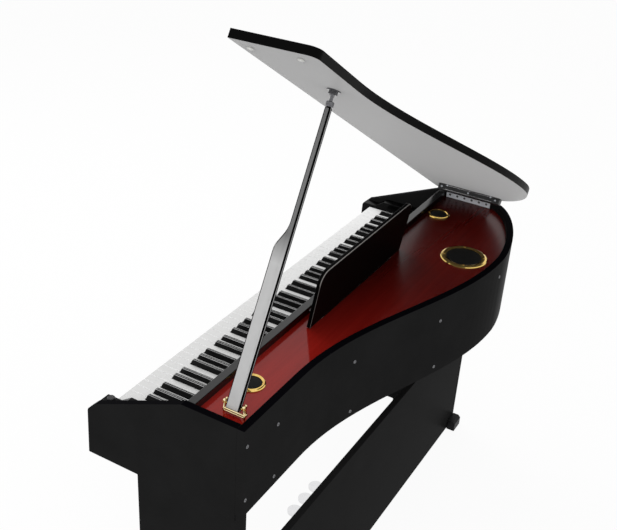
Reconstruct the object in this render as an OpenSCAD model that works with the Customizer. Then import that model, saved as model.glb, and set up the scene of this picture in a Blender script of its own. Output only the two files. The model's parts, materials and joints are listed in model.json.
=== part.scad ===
// Digital piano in a small grand case: panel stand, curved rim, raised lid on a prop.
// X runs along the keys from bass to treble, Y from the player to the tail, Z up.
// Lengths are in millimetres. Heights are given from the top of the white keys.

/* [Keyboard] */
// Pitch of the white keys
white_pitch = 23.5; // [22.5:0.1:24]
// Gap between neighbouring keys
key_gap = 1; // [0.7:0.1:1.4]
// Playing length of a white key
white_len = 150; // [140:1:160]
// Depth of a white key's front
white_h = 20; // [16:1:24]
// Playing length of a black key
black_len = 97; // [85:1:105]
// Width of a black key at its foot
black_w = 12; // [10:0.5:13]
// Height of a black key above the white keys
black_h = 12; // [9:0.5:14]
// Number of white keys
white_count = 52; // [24:1:52]
// How far the front of a key goes down
key_dip = 10; // [8:0.5:11]
// Width of the lever behind a key
lever_w = 8; // [6:0.5:9]
// Diameter of the shaft that the keys turn on
key_shaft_d = 6; // [4:0.5:8]

/* [Case] */
// Thickness of the case panels
panel_t = 18; // [15:1:22]
// Space between the end keys and the side panels
key_margin = 30; // [24:1:40]
// Height of the rim above the white keys
rim_h = 110; // [95:1:130]
// Depth of the case below the white keys
case_drop = 132; // [120:1:150]
// Height of the arms at their front, above the white keys
arm_front_h = 13; // [5:1:25]
// Reach of the arms in front of the keys
arm_reach = 44; // [35:1:55]
// Size of the bevelled upper front corner of the arms
arm_corner = 28; // [20:1:34]
// How far the front of the arms leans back
arm_lean = 4; // [0:0.5:8]
// Where the arms meet the level rim
arm_rise_end = 213; // [190:1:216]
// Depth of the case at its treble end
treble_depth = 366; // [345:1:390]
// Depth of the case at its tail
tail_depth = 537; // [515:1:560]
// Length of the tail's rounding across the case
tail_round_w = 336; // [300:1:380]
// Length of the tail's rounding along the bass side
tail_round_d = 155; // [140:1:160]
// Fullness of the tail's rounding, where 2 is an ellipse
tail_fullness = 1.65; // [1.55:0.05:2]
// Level stretch of the bent side next to the treble end
treble_run = 227; // [200:1:280]
// Depth of the bent side below the white keys
rim_drop = 114; // [105:1:118]
// Depth of the sound panel below the rim
board_sink = 18; // [14:1:24]
// Thickness of the sound panel
board_t = 12; // [9:1:16]
// Front of the rail behind the keys
rail_front = 216; // [205:1:225]
// Width of the rail behind the keys
rail_w = 20; // [16:1:26]
// Height of the cheek blocks behind the knob
cheek_h = 27; // [22:1:34]
// Height of the cheek blocks at the knob
cheek_low_h = 8; // [4:1:10]

/* [Stand] */
// Height of the white keys above the floor
key_height = 727; // [700:1:790]
// Front of the leg panels
leg_front = 92; // [60:1:140]
// Thickness of the leg panels
leg_t = 16; // [12:1:18]
// Space under the leg panels
leg_lift = 12; // [11:1:24]
// Height of the stretcher panel
stretcher_h = 406; // [380:1:440]
// Space under the stretcher panel
stretcher_lift = 4; // [3:1:8]
// Height of the rear feet
foot_h = 35; // [28:1:50]
// How far the rear feet stand out behind the legs
foot_reach = 27; // [20:1:40]
// Width of the rear feet
foot_w = 52; // [40:1:60]
// Diameter of the front glides
glide_d = 15; // [12:1:16]

/* [Lid] */
// Thickness of the lid
lid_t = 18; // [15:1:20]
// Angle of the lid on its prop
lid_angle = 31.4; // [26:0.2:34]
// Overhang of the lid in front of the rail
lid_front_lap = 14; // [8:1:20]
// Overhang of the lid along the curved side
lid_lap = 18; // [10:1:22]
// Overhang of the lid at the tail
tail_lap = 27; // [14:1:30]
// Overhang of the lid past the treble end
lid_end_lap = 36; // [20:1:40]
// Radius of the lid's rear treble corner
lid_corner_r = 20; // [10:1:40]
// Reach of the lid from the hinge towards the bass
lid_bass_reach = 11; // [8:0.5:12]
// Height of the hinge axis above the rim
hinge_rise = 7; // [6:0.5:9]
// Radius of the hinge knuckles
knuckle_r = 4.5; // [4:0.5:6]
// Thickness of the hinge leaves
leaf_t = 2; // [1.5:0.1:2.5]
// Room between the hinge and the round tail corner
hinge_corner_gap = 2; // [1:1:4]
// Length of the hinge
hinge_len = 140; // [120:1:141]
// Width of the leaf on the lid
upper_leaf_w = 34; // [26:1:44]
// Diameter of the hinge pin
hinge_pin_d = 4; // [3:0.5:5]
// Diameter of the bumpers under the lid
bumper_d = 12; // [9:1:16]

/* [Prop] */
// Distance of the prop's pivot from the treble end
prop_inset = 57; // [50:1:70]
// Distance of the prop's middle from the back of the treble end
prop_back = 63; // [60:1:68]
// Lean of the prop from square to the lid, which keeps it in its cup
prop_off = 2.9; // [2:0.1:4]
// Width of the prop's blade
blade_w = 33; // [28:1:35]
// Length of the prop's wide blade
blade_len = 321; // [280:1:330]
// Width of the prop's narrow bar
bar_w = 13; // [11:0.5:15]
// Thickness of the prop
prop_t = 12; // [10:0.5:13]
// Height of the prop's pivot above the sound panel
prop_rise = 18; // [16:0.5:19]
// Diameter of the bracket's posts
post_d = 5; // [4:0.5:6]

/* [Music desk] */
// Bass end of the music desk
desk_bass = 372; // [340:1:400]
// Width of the music desk
desk_w = 484; // [420:1:500]
// Height of the music desk
desk_h = 154; // [130:1:170]
// Thickness of the music desk
desk_t = 10; // [8:0.5:12]
// Backward lean of the music desk
desk_lean = 9; // [6:0.5:10]
// Distance of the desk's foot behind the rail
desk_gap = 31; // [28:1:34]
// Radius of the desk's upper corners
desk_corner_r = 30; // [15:1:45]

/* [Speakers] */
// Outer radius of the large speaker's ring
woofer_r = 63; // [55:1:66]
// Outer radius of the small speakers' rings
tweeter_r = 32; // [26:1:34]
// Share of a ring's radius that its opening has
ring_open = 0.75; // [0.7:0.01:0.8]
// Distance of the large speaker's middle from the tail
woofer_inset = 103; // [100:1:110]

/* [Pedals] */
// Distance between neighbouring pedals
pedal_pitch = 61; // [54:1:76]
// Width of a pedal's round end
pedal_w = 44; // [36:1:48]
// Width of a pedal's arm
pedal_arm_w = 18; // [14:1:20]
// Thickness of a pedal
pedal_t = 7; // [5:0.5:9]
// Height of the pedals above the floor
pedal_rise = 55; // [50:1:66]
// How far a pedal's end goes down
pedal_dip = 14; // [10:1:18]

/* [Hidden] */
// Clearance between pieces that move past each other
run_gap = 0.4;
// Radial clearance of a pin in its bore
bore_gap = 0.05;
// Distance at which resting pieces lie from their seats
seat_gap = 0.3;
curve_steps = 28;
key_len = white_count * white_pitch;
end_x = key_len + key_margin + panel_t;
start_x = -key_margin - panel_t;
inner_end_x = end_x - panel_t;
inner_start_x = start_x + panel_t;
board_z = rim_h - board_sink;
board_low_z = board_z - board_t;
bottom_z = -case_drop;
rim_low = -rim_drop;
floor_z = -key_height;
tray_z = rim_low + panel_t;
rail_back = rail_front + rail_w;
tail_x = start_x + tail_round_w;
ramp_x = end_x - treble_run;
tail_corner_y = tail_depth - tail_round_d;
hinge_front = tail_corner_y - hinge_len - hinge_corner_gap;
arm_ease = 2;
// Pivot line of the keys
key_pivot_y = 228;
key_pivot_z = -14;
lever_h = 13;
lever_top = -6;
lever_back = 246;
black_front = white_len - black_len - 3;
black_bevel = 6;
black_taper = 1.2;
notch_gap = 1;
key_round = 1.6;
// Names of the natural keys start at C, and the lowest white key is an A
first_letter = 5;
black_after = [true, true, false, true, true, true, false];
black_shift = [-2.6, 2.6, 0, -3.6, 0, 3.6, 0];
// Frame below the keys
frame_front = -2;
frame_back = 252;
frame_t = 8;
frame_wall = 6;
felt_gap = 2;
bearing_t = 2;
key_slip_t = 18;
key_slip_front = -22;
key_slip_top = -34;
shelf_front = white_len + 3;
shelf_top = 16;
shelf_t = 4;
cheek_front = -20;
cheek_flat_end = 18;
cheek_slope_end = 46;
knob_r = 9;
knob_h = 9;
knob_y = 0;
knob_shaft_r = 3;
button_w = 16;
button_d = 9;
button_rise = 3;
button_lip = 2;
button_travel = 1.2;
button_y = (shelf_front + rail_front) / 2;
button_step = 34;
button_first = key_len - 60;
// Stand
leg_inset = 1.5;
leg_low_z = floor_z + leg_lift;
leg_back = treble_depth;
foot_bevel = 7;
glide_y = leg_front + 60;
stretcher_low_z = floor_z + stretcher_lift;
// Pedals
pedal_mid_x = key_len / 2;
pedal_top = floor_z + pedal_rise;
box_front = 205;
box_back = leg_back - panel_t;
box_wall = 6;
box_side = 44;
box_top = pedal_top + 16;
box_low = floor_z + 12;
pedal_end_y = 143;
pedal_pivot_y = 290;
pedal_shaft_d = 6;
pedal_boss_r = 7;
pedal_neck_y = pedal_end_y + pedal_w;
// Lid
hinge_x = inner_start_x + knuckle_r;
hinge_z = rim_h + hinge_rise;
lid_low = hinge_z + knuckle_r;
lid_front = rail_front - lid_front_lap;
lid_back = treble_depth + lid_lap;
lid_tail = tail_depth + tail_lap;
lid_end = end_x + lid_end_lap;
lid_start = hinge_x - lid_bass_reach;
lid_ramp_lead = 66;
lid_corner_y = tail_corner_y - 52;
lid_fullness = 1.62;
lid_ramp_x = ramp_x + lid_ramp_lead;
lid_tail_x = tail_x + lid_ramp_lead + 4;
knuckle_count = 21;
leaf_low = board_z + 1;
leaf_screws = 6;
screw_head_r = 3.5;
screw_head_h = 1.2;
bumper_ys = [230, 336];
// Prop
prop_x = end_x - prop_inset;
prop_z = board_z + prop_rise;
prop_pin_d = 4;
post_gap = 46;
post_top = hinge_z + knuckle_r - 7;
bracket_t = 3;
bracket_w = 14;
prop_y = treble_depth - prop_back;
blade_start = prop_y - blade_w / 2;
blade_end = prop_y + blade_w / 2;
blade_round = prop_t / 2 + 2;
blade_step = 64;
tip_len = 30;
tip_r = 8.5;
tip_ring_h = 10;
tip_ball_r = 5;
tip_cap_gap = 1.4;
// Distance of the pivot from the hinge axis, along and across the lid
pivot_u = (prop_x - hinge_x) * cos(lid_angle) + (prop_z - hinge_z) * sin(lid_angle);
pivot_v = (prop_z - hinge_z) * cos(lid_angle) - (prop_x - hinge_x) * sin(lid_angle);
cup_plate_t = 2.5;
cup_wall = 2;
cup_h = 7;
cup_r = tip_ball_r + 2.5;
tip_drop = knuckle_r - cup_plate_t - tip_cap_gap - pivot_v;
prop_len = tip_drop / cos(prop_off);
prop_angle = 90 - lid_angle + prop_off;
cup_x = hinge_x + pivot_u + prop_len * sin(prop_off);
bar_y = blade_end - bar_w / 2;
// Music desk
desk_y = rail_back + desk_gap;
desk_pin_r = 3;
desk_pin_len = 10;
desk_pin_inset = 60;
desk_ledge_d = 16;
desk_ledge_t = 5;
desk_ledge_z = 20;
// Speakers: middle of the large one and of each small one
woofer_at = [tail_x + 21, tail_depth - woofer_inset];
tweeter_ats = [[start_x + 152, rail_back + 36], [end_x - 160, rail_back + 40]];
ring_h = 5;
ring_lip = 2.5;
grille_t = 2;
driver_flange_t = 3;
// Screws of the bent side, as places along X and heights
rim_screw_r = 4.5;
rim_screw_h = 1.2;
rim_screws = [[1258, 66], [851, 45], [570, 44], [300, 62],
    [1260, -72], [1149, -90], [851, -97], [570, -94]];
// Inside
pcb_t = 2;
pcb_stand = 6;
chip_h = 9;
pcb_w = 260;
pcb_d = 110;
pcb_x = tail_x + 132;
pcb_y = rail_back + 54;
post_inset = 8;
chip_w = 34;
chip_step = 56;
coil_step = 70;
inlet_r = 5.5;

// Middle of the whole piano in plan, with the lid raised
lid_reach_x = hinge_x - lid_bass_reach * cos(lid_angle) - (knuckle_r + lid_t) * sin(lid_angle);
low_x = min(start_x, lid_reach_x);
mid_x = (low_x + end_x) / 2;
mid_y = (lid_tail - arm_reach) / 2;

// Outline of the case, as offsets from its outer face

function ramp_y(x, x0, x1, y0, y1) = y0 + (y1 - y0) * (1 - cos(180 * (x0 - x) / (x0 - x1))) / 2;

function ramp_points(x0, x1, y0, y1) = [
    for (i = [0 : curve_steps])
        let (x = x0 + (x1 - x0) * i / curve_steps)
        [x, ramp_y(x, x0, x1, y0, y1)]];

// Quarter of a rounding towards the bass side, with a power of 1 for an ellipse
function round_points(cx, cy, rx, ry, power) = [
    for (i = [1 : curve_steps])
        let (a = 90 * i / curve_steps)
        [cx - rx * pow(sin(a), power), cy + ry * pow(max(cos(a), 0), power)]];

tail_power = 2 / tail_fullness;

// The bent side's outer face, from the treble end round the tail to the bass side
rim_curve = concat(
    [for (i = [0 : 4]) [end_x - treble_run * i / 5, treble_depth]],
    ramp_points(ramp_x, tail_x, treble_depth, tail_depth),
    round_points(tail_x, tail_corner_y, tail_round_w, tail_round_d, tail_power));

function unit(v) = v / norm(v);
function clamped(list, i) = list[max(0, min(len(list) - 1, i))];

// Direction into the case at a point of the face, square to it
function inward(i) =
    let (d = unit(clamped(rim_curve, i + 1) - clamped(rim_curve, i - 1)))
    i == len(rim_curve) - 1 ? [1, 0] : [-d[1], d[0]];

// The same face moved into the case by a distance
function rim_inside(d) = [for (i = [0 : len(rim_curve) - 1]) rim_curve[i] + inward(i) * d];

function reversed(list) = [for (i = [len(list) - 1 : -1 : 0]) list[i]];

inner_curve = [for (p = rim_inside(panel_t)) [min(p[0], inner_end_x), p[1]]];

// Puts a piece into the frame of the whole piano
module place() {
    translate([-mid_x, -mid_y, key_height]) children();
}

// Extrudes a Y-Z profile along X between two places
module along_x(x0, x1) {
    translate([x0, 0, 0]) rotate([90, 0, 90]) linear_extrude(x1 - x0) children();
}

// Extrudes an X-Y outline between two heights
module between_z(z0, z1) {
    translate([0, 0, z0]) linear_extrude(z1 - z0) children();
}

module rod_x(x0, x1, y, z, r) {
    translate([x0, y, z]) rotate([0, 90, 0]) cylinder(r = r, h = x1 - x0, $fn = 48);
}

module rod_y(y0, y1, x, z, r) {
    translate([x, y1, z]) rotate([90, 0, 0]) cylinder(r = r, h = y1 - y0, $fn = 48);
}

// Case

function arc_points(cx, cy, r, a0, a1, n) = [
    for (i = [0 : n])
        let (a = a0 + (a1 - a0) * i / n)
        [cx + r * cos(a), cy + r * sin(a)]];

// Side of the case: arm beside the keys, rising to the level rim
module side_profile(back_y) {
    face_y = -arm_reach + arm_lean;
    face_z = arm_front_h - arm_corner;
    top_y = face_y + arm_corner;
    polygon([
        [-arm_reach, bottom_z], [back_y, bottom_z], [back_y, rim_h], [arm_rise_end, rim_h],
        [top_y, arm_front_h], [top_y - arm_ease * 3, arm_front_h - arm_ease],
        [face_y + arm_ease, face_z + arm_ease * 3], [face_y, face_z]]);
}

module treble_side() {
    color("#0d0d0f") place()
        along_x(inner_end_x, end_x) side_profile(treble_depth - panel_t);
}

module bass_side() {
    color("#0d0d0f") place()
        along_x(start_x, inner_start_x) side_profile(tail_corner_y);
}

module leg_panel(x0) {
    translate([x0, leg_front, leg_low_z])
        cube([leg_t, leg_back - leg_front, bottom_z - leg_low_z]);
}

// The treble leg reaches up to the bent side behind the side panel
module treble_leg() {
    x0 = end_x - leg_inset - leg_t;
    color("#0d0d0f") place() {
        leg_panel(x0);
        translate([x0, leg_back - panel_t, bottom_z - 1]) cube([leg_t, panel_t, rim_low - bottom_z + 1]);
    }
}

module bass_leg() {
    color("#0d0d0f") place() leg_panel(start_x + leg_inset);
}

module bentside() {
    color("#0d0d0f") place() between_z(rim_low, rim_h)
        polygon(concat(rim_curve, reversed(rim_inside(panel_t))));
}

// Area inside the rim behind a given line
module inside_outline(front_y) {
    polygon(concat(
        [[inner_start_x, front_y], [inner_end_x, front_y]],
        inner_curve));
}

module bottom_board() {
    color("#1a1614") place() between_z(rim_low, tray_z)
        inside_outline(key_slip_front + key_slip_t);
}

// Lean of the desk's own frame, with its foot at the origin
module desk_frame() {
    translate([0, desk_y, board_z]) rotate([-desk_lean, 0, 0]) children();
}

desk_pin_xs = [desk_bass + desk_pin_inset, desk_bass + desk_w - desk_pin_inset];

module soundboard() {
    color("#7a1712") place() difference() {
        between_z(board_low_z, board_z) inside_outline(rail_back);
        translate([woofer_at[0], woofer_at[1], board_low_z - 1])
            cylinder(r = woofer_r * ring_open + 3, h = board_t + 2, $fn = 96);
        for (at = tweeter_ats)
            translate([at[0], at[1], board_low_z - 1])
                cylinder(r = tweeter_r * ring_open + 2, h = board_t + 2, $fn = 72);
        for (x = desk_pin_xs)
            desk_frame() translate([x, 0, -board_t * 2])
                cylinder(r = desk_pin_r + bore_gap, h = board_t * 3, $fn = 48);
    }
}

module key_rail() {
    color("#101012") place() translate([inner_start_x, rail_front, 2])
        cube([inner_end_x - inner_start_x, rail_w, rim_h - 2]);
}

module key_slip() {
    color("#0d0d0f") place() translate([inner_start_x, key_slip_front, rim_low])
        cube([inner_end_x - inner_start_x, key_slip_t, key_slip_top - rim_low]);
}

module cheek_profile() {
    polygon([
        [key_slip_front + key_slip_t, tray_z], [rail_front, tray_z], [rail_front, cheek_h],
        [cheek_slope_end, cheek_h], [cheek_flat_end, cheek_low_h], [cheek_front, cheek_low_h],
        [cheek_front, key_slip_top], [key_slip_front + key_slip_t, key_slip_top]]);
}

module bass_cheek() {
    color("#0d0d0f") place() along_x(inner_start_x, -seat_gap * 4) cheek_profile();
}

knob_x = (key_len + inner_end_x) / 2;

module treble_cheek() {
    color("#0d0d0f") place() difference() {
        along_x(key_len + seat_gap * 4, inner_end_x) cheek_profile();
        translate([knob_x, knob_y, cheek_low_h - 20])
            cylinder(r = knob_shaft_r + bore_gap, h = 21, $fn = 48);
    }
}

button_xs = [for (i = [0 : 2]) button_first - i * button_step];

module control_shelf() {
    color("#151517") place() difference() {
        translate([-seat_gap * 4, shelf_front, shelf_top - shelf_t])
            cube([key_len + seat_gap * 8, rail_front - shelf_front, shelf_t]);
        for (x = button_xs)
            translate([x - button_w / 2 - run_gap, button_y - button_d / 2 - run_gap, 0])
                cube([button_w + run_gap * 2, button_d + run_gap * 2, shelf_top + 1]);
    }
}

// Stand

module cross_panel() {
    x0 = start_x + leg_inset + leg_t;
    x1 = end_x - leg_inset - leg_t;
    color("#0d0d0f") place() translate([x0, box_back, stretcher_low_z])
        cube([x1 - x0, panel_t, stretcher_h]);
}

module rear_foot(x0) {
    y1 = leg_back + foot_reach;
    top_z = floor_z + foot_h;
    along_x(x0, x0 + foot_w) polygon([
        [leg_back, floor_z], [y1, floor_z], [y1, top_z - foot_bevel],
        [y1 - foot_bevel, top_z], [leg_back, top_z]]);
}

leg_mid_xs = [start_x + leg_inset + leg_t / 2, end_x - leg_inset - leg_t / 2];

module rear_feet() {
    color("#121214") place() for (x = [start_x, end_x - foot_w]) rear_foot(x);
}

module front_glides() {
    color("#1c1c1e") place() for (x = leg_mid_xs) {
        translate([x, glide_y, floor_z]) cylinder(r1 = glide_d / 2 - 1.5, r2 = glide_d / 2, h = 4, $fn = 48);
        translate([x, glide_y, floor_z + 4]) cylinder(r = glide_d / 2, h = 3, $fn = 48);
        translate([x, glide_y, floor_z + 7]) cylinder(r = 4, h = leg_lift - 7, $fn = 32);
    }
}

pedal_xs = [for (i = [-1 : 1]) pedal_mid_x + i * pedal_pitch];
box_x0 = pedal_mid_x - pedal_pitch - box_side;
box_x1 = pedal_mid_x + pedal_pitch + box_side;

module pedal_box() {
    color("#101012") place() difference() {
        translate([box_x0, box_front, box_low])
            cube([box_x1 - box_x0, box_back - box_front, box_top - box_low]);
        translate([box_x0 + box_wall, box_front + box_wall, box_low + box_wall])
            cube([box_x1 - box_x0 - box_wall * 2, box_back - box_front, box_top - box_low - box_wall * 2]);
        for (x = pedal_xs)
            translate([x - pedal_arm_w / 2 - 2, box_front - 1, pedal_top - pedal_t - pedal_dip - 4])
                cube([pedal_arm_w + 4, box_wall + 2, pedal_t + pedal_dip + 7]);
    }
}

module pedal_shaft() {
    color("#8a8a8c") place() rod_x(box_x0 + box_wall, box_x1 - box_wall, pedal_pivot_y,
        pedal_top - pedal_t / 2, pedal_shaft_d / 2);
}

module pedal(x) {
    color("#c8c8ca") place() difference() {
        union() {
            between_z(pedal_top - pedal_t, pedal_top) translate([x, 0]) {
                translate([0, pedal_end_y + pedal_w / 2]) circle(d = pedal_w, $fn = 64);
                polygon([
                    [-pedal_w / 2 * 0.94, pedal_end_y + pedal_w * 0.67],
                    [-pedal_arm_w / 2, pedal_neck_y + 14], [-pedal_arm_w / 2, pedal_pivot_y],
                    [pedal_arm_w / 2, pedal_pivot_y], [pedal_arm_w / 2, pedal_neck_y + 14],
                    [pedal_w / 2 * 0.94, pedal_end_y + pedal_w * 0.67]]);
            }
            rod_x(x - pedal_arm_w / 2, x + pedal_arm_w / 2, pedal_pivot_y,
                pedal_top - pedal_t / 2, pedal_boss_r);
        }
        rod_x(x - pedal_w, x + pedal_w, pedal_pivot_y, pedal_top - pedal_t / 2,
            pedal_shaft_d / 2 + bore_gap);
    }
}

module left_pedal() { pedal(pedal_xs[0]); }
module middle_pedal() { pedal(pedal_xs[1]); }
module right_pedal() { pedal(pedal_xs[2]); }

// Lid and its hinge, drawn closed and then raised about the hinge axis

module raised() {
    translate([hinge_x, 0, hinge_z]) rotate([0, -lid_angle, 0]) translate([-hinge_x, 0, -hinge_z])
        children();
}

lid_power = 2 / lid_fullness;

lid_outline = concat(
    [[lid_start, lid_front], [lid_end, lid_front]],
    arc_points(lid_end - lid_corner_r, lid_back - lid_corner_r, lid_corner_r, 0, 90, 8),
    ramp_points(lid_ramp_x, lid_tail_x, lid_back, lid_tail),
    round_points(lid_tail_x, lid_corner_y, lid_tail_x - lid_start, lid_tail - lid_corner_y, lid_power));

module lid() {
    color("#0b0b0c") place() raised() between_z(lid_low, lid_low + lid_t) polygon(lid_outline);
}

bumper_x = end_x - panel_t / 2;

module lid_bumpers() {
    color("#d8d8d4") place() raised() for (y = bumper_ys)
        translate([bumper_x, y, rim_h + seat_gap])
            cylinder(r = bumper_d / 2, h = lid_low - rim_h - seat_gap, $fn = 40);
}

knuckle_len = hinge_len / knuckle_count;

// Knuckles at every other place, starting at the given one
module knuckles(first) {
    for (i = [first : 2 : knuckle_count - 1])
        rod_y(hinge_front + i * knuckle_len + run_gap / 2,
            hinge_front + (i + 1) * knuckle_len - run_gap / 2, hinge_x, hinge_z, knuckle_r);
}

// Strips that tie the knuckles of one leaf to it
module knuckle_webs(first, x0, z0, w, h) {
    for (i = [first : 2 : knuckle_count - 1])
        translate([x0, hinge_front + i * knuckle_len + run_gap / 2, z0])
            cube([w, knuckle_len - run_gap, h]);
}

module hinge_lower_leaf() {
    color("#c9cacc") place() difference() {
        union() {
            translate([inner_start_x, hinge_front, leaf_low])
                cube([leaf_t, hinge_len, hinge_z - knuckle_r - 1 - leaf_low]);
            knuckle_webs(0, inner_start_x, hinge_z - knuckle_r - 2, leaf_t, knuckle_r + 2);
            knuckles(0);
        }
        rod_y(hinge_front - 1, hinge_front + hinge_len + 1, hinge_x, hinge_z, hinge_pin_d / 2);
    }
}

module hinge_upper_leaf() {
    color("#b9babc") place() raised() difference() {
        union() {
            translate([hinge_x + knuckle_r + 1, hinge_front, lid_low - leaf_t])
                cube([upper_leaf_w, hinge_len, leaf_t]);
            knuckle_webs(1, hinge_x, lid_low - leaf_t, knuckle_r + 2, leaf_t);
            knuckles(1);
        }
        rod_y(hinge_front - 1, hinge_front + hinge_len + 1, hinge_x, hinge_z,
            hinge_pin_d / 2 + bore_gap);
    }
}

module hinge_pin() {
    color("#9a9b9d") place()
        rod_y(hinge_front - 3, hinge_front + hinge_len + 3, hinge_x, hinge_z, hinge_pin_d / 2);
}

module hinge_screws() {
    color("#8d8e90") place() for (i = [0 : leaf_screws - 1])
        translate([inner_start_x + leaf_t, hinge_front + hinge_len * (i + 0.5) / leaf_screws,
            (leaf_low + hinge_z - knuckle_r) / 2])
            rotate([0, 90, 0]) cylinder(r1 = screw_head_r, r2 = screw_head_r - 1, h = screw_head_h, $fn = 32);
}

// Prop

module prop_cup() {
    color("#b9babc") place() raised() translate([cup_x, bar_y, 0]) {
        difference() {
            union() {
                between_z(lid_low - cup_plate_t, lid_low) circle(r = cup_r + 7, $fn = 64);
                between_z(lid_low - cup_plate_t - cup_h, lid_low - cup_plate_t)
                    circle(r = cup_r + cup_wall, $fn = 64);
            }
            translate([0, 0, lid_low - cup_plate_t - cup_h - 1])
                cylinder(r = cup_r, h = cup_h + 1, $fn = 64);
            translate([-cup_r * 3, -cup_r, lid_low - cup_plate_t - cup_h - 1])
                cube([cup_r * 3, cup_r * 2, cup_h + 1]);
        }
    }
}

post_ys = [prop_y - post_gap / 2, prop_y + post_gap / 2];

module prop_bracket() {
    color("#c9a545") place() difference() {
        union() {
            translate([prop_x - bracket_w / 2, post_ys[0] - post_d, board_z])
                cube([bracket_w, post_gap + post_d * 2, bracket_t]);
            for (y = post_ys) {
                translate([prop_x, y, board_z]) cylinder(r = post_d / 2, h = post_top - board_z, $fn = 40);
                translate([prop_x, y, post_top]) sphere(r = post_d * 0.8, $fn = 40);
                translate([prop_x, y, board_z + bracket_t]) cylinder(r = post_d * 0.8, h = 2.5, $fn = 40);
            }
            rod_y(post_ys[0], post_ys[1], prop_x, board_z + bracket_t + 2, post_d * 0.3);
        }
        rod_y(post_ys[0] - post_d, post_ys[1] + post_d, prop_x, prop_z, prop_pin_d / 2);
    }
}

module prop_pin() {
    color("#c9a545") place()
        rod_y(post_ys[0] - post_d / 2 - 1, post_ys[1] + post_d / 2 + 1, prop_x, prop_z, prop_pin_d / 2);
}

// Frame of the prop: X along it from the pivot, Y across, Z out of its upper face
module prop_frame() {
    translate([prop_x, 0, prop_z]) rotate([0, 180 + prop_angle, 0]) children();
}

function step_y(t) = blade_start + (blade_w - bar_w) * (1 - cos(180 * t)) / 2;

module prop_stick() {
    color("#0e0e10") place() prop_frame() difference() {
        translate([0, 0, -prop_t / 2]) linear_extrude(prop_t) union() {
            polygon(concat(
                [[0, blade_start]],
                [for (i = [0 : 12]) [blade_len + blade_step * i / 12, step_y(i / 12)]],
                [[prop_len - tip_len, blade_end - bar_w], [prop_len - tip_len, blade_end],
                    [0, blade_end]]));
            translate([-blade_round, blade_start]) square([blade_round + 1, blade_w]);
        }
        rod_y(blade_start - 1, blade_end + 1, 0, 0, prop_pin_d / 2 + bore_gap);
    }
}

module prop_tip() {
    color("#b9babc") place() prop_frame() translate([prop_len - tip_len, bar_y, 0])
        rotate([0, 90, 0]) rotate_extrude($fn = 48) polygon(concat(
            [[0, 0], [tip_r, 0], [tip_r, tip_ring_h], [tip_ball_r - 1.5, tip_ring_h + 2],
                [tip_ball_r - 1.5, tip_len - tip_ball_r * 1.8]],
            arc_points(0, tip_len - tip_ball_r, tip_ball_r, -30, 90, 8)));
}

// Music desk

module desk_outline() {
    r = desk_corner_r;
    polygon(concat(
        [[desk_bass, 0], [desk_bass + desk_w, 0]],
        arc_points(desk_bass + desk_w - r, desk_h - r, r, 0, 90, 10),
        arc_points(desk_bass + r, desk_h - r, r, 90, 180, 10)));
}

module music_desk() {
    foot = desk_t / 2 * tan(desk_lean) + seat_gap;
    color("#0d0d0f") place() desk_frame() difference() {
        union() {
            translate([0, desk_t / 2, foot]) rotate([90, 0, 0]) linear_extrude(desk_t) desk_outline();
            translate([desk_bass + desk_corner_r, -desk_t / 2 - desk_ledge_d, desk_ledge_z])
                cube([desk_w - desk_corner_r * 2, desk_ledge_d + 1, desk_ledge_t]);
            translate([desk_bass + desk_corner_r, -desk_t / 2 - desk_ledge_d, desk_ledge_z])
                cube([desk_w - desk_corner_r * 2, 3, desk_ledge_t + 4]);
        }
        for (x = desk_pin_xs)
            translate([x, 0, 0]) cylinder(r = desk_pin_r, h = foot + desk_pin_len, $fn = 48);
    }
}

module desk_pins() {
    foot = desk_t / 2 * tan(desk_lean) + seat_gap;
    color("#b08c3a") place() desk_frame() for (x = desk_pin_xs)
        translate([x, 0, -desk_pin_len]) cylinder(r = desk_pin_r, h = foot + desk_pin_len * 2, $fn = 48);
}

// Keyboard

function letter(w) = (w + first_letter) % 7;
function has_black(w) = w >= 0 && w < white_count - 1 && black_after[letter(w)];
function black_x(w) = (w + 1) * white_pitch + black_shift[letter(w)] * white_pitch / 23.5;
function left_x(w) = has_black(w - 1)
    ? black_x(w - 1) + black_w / 2 + notch_gap : w * white_pitch + key_gap / 2;
function right_x(w) = has_black(w)
    ? black_x(w) - black_w / 2 - notch_gap : (w + 1) * white_pitch - key_gap / 2;

module key_lever(x) {
    difference() {
        translate([x - lever_w / 2, white_len - 4, lever_top - lever_h])
            cube([lever_w, lever_back - white_len + 4, lever_h]);
        rod_x(x - lever_w, x + lever_w, key_pivot_y, key_pivot_z, key_shaft_d / 2 + bore_gap);
    }
}

module white_key(w) {
    x0 = w * white_pitch + key_gap / 2;
    x1 = x0 + white_pitch - key_gap;
    notch_y = black_front - notch_gap;
    color("#f4f3ee") {
        intersection() {
            between_z(-white_h, 0) difference() {
                translate([x0, 0]) square([x1 - x0, white_len]);
                if (left_x(w) > x0 + 0.01)
                    translate([x0 - 1, notch_y]) square([left_x(w) - x0 + 1, white_len]);
                if (right_x(w) < x1 - 0.01)
                    translate([right_x(w), notch_y]) square([x1 - right_x(w) + 1, white_len]);
            }
            along_x(x0 - 1, x1 + 1) polygon(concat(
                [[2, -white_h], [white_len, -white_h], [white_len, 0]],
                arc_points(key_round, -key_round, key_round, 90, 180, 4),
                [[0, -4], [1, -5], [2, -8]]));
        }
        key_lever((left_x(w) + right_x(w)) / 2);
    }
}

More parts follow.
